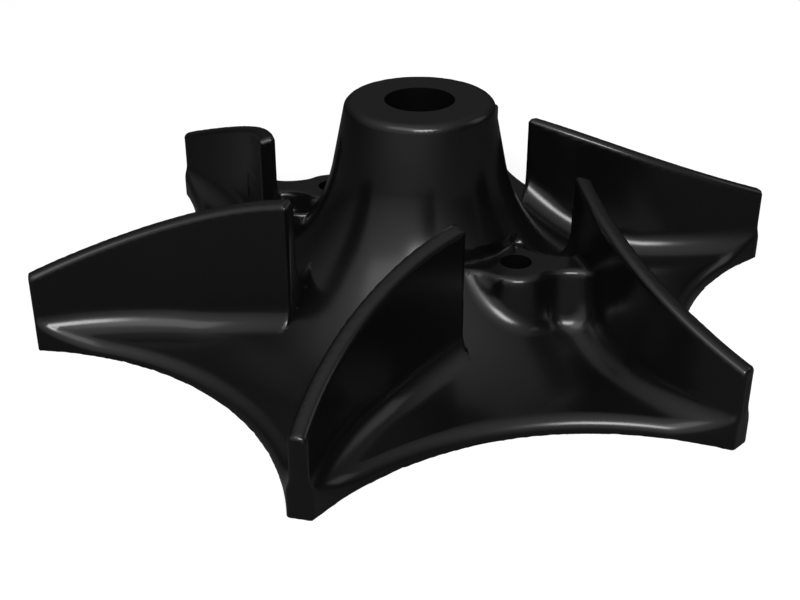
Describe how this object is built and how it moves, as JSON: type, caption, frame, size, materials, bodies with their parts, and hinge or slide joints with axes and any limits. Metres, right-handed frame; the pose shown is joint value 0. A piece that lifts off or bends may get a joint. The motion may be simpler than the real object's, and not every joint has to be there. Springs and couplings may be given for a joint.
{
  "type": "pump impeller",
  "caption": "Moulded rubber pump impeller: tapered hub with a plain bore, tall swept vanes on a thin scalloped back plate, and drilled bosses beside the hub.",
  "frame": {"origin": "centre of the bore on the flat back face", "axes": "+Z along the bore towards the hub's nose; +X through one screw hole and the vane tip on the same ray"},
  "size_m": [0.18, 0.1584, 0.0505],
  "materials": {
    "rubber": "gloss"
  },
  "bodies": {
    "root": {"impeller": "rubber"}
  },
  "joints": []
}
